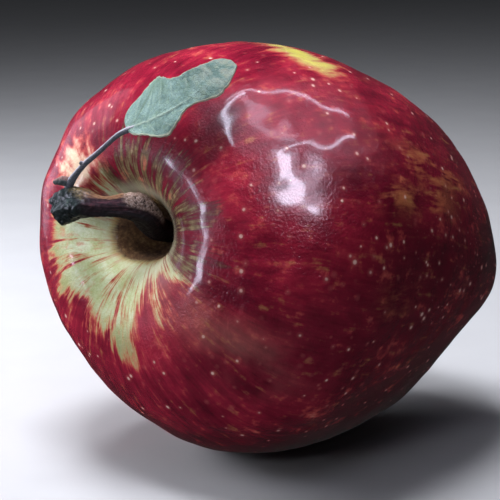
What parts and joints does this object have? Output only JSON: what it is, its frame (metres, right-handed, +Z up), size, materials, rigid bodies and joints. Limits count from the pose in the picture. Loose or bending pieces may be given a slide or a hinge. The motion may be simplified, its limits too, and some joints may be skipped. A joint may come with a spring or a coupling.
{
  "type": "apple",
  "caption": "Whole ripe apple lying on its side, with a deep stem cavity, a stout bent stem, a small leaf on its stalk and a dried calyx at the lobed far end.",
  "frame": {"origin": "centre of the small flat spot on the fruit's side, on which it rests", "axes": "+Z up; +X from the stem end towards the calyx end, the fruit's axis lies in the XZ plane and rises 12.7 degrees towards the stem end, at -X; +Y to the left of someone who looks along +X"},
  "size_m": [0.086, 0.0754, 0.0743],
  "materials": {
    "skin": "waxy gloss, deep crimson over a yellow-green ground, with fine pale dots",
    "bark": "dull, wrinkled brown bark with a greenish black knob",
    "leaf_felt": "matte grey-green felt",
    "dried_calyx": "dry, brown and matte"
  },
  "bodies": {
    "root": {"fruit": "skin", "stem": "bark", "leaf": "leaf_felt", "calyx": "dried_calyx"}
  },
  "joints": []
}
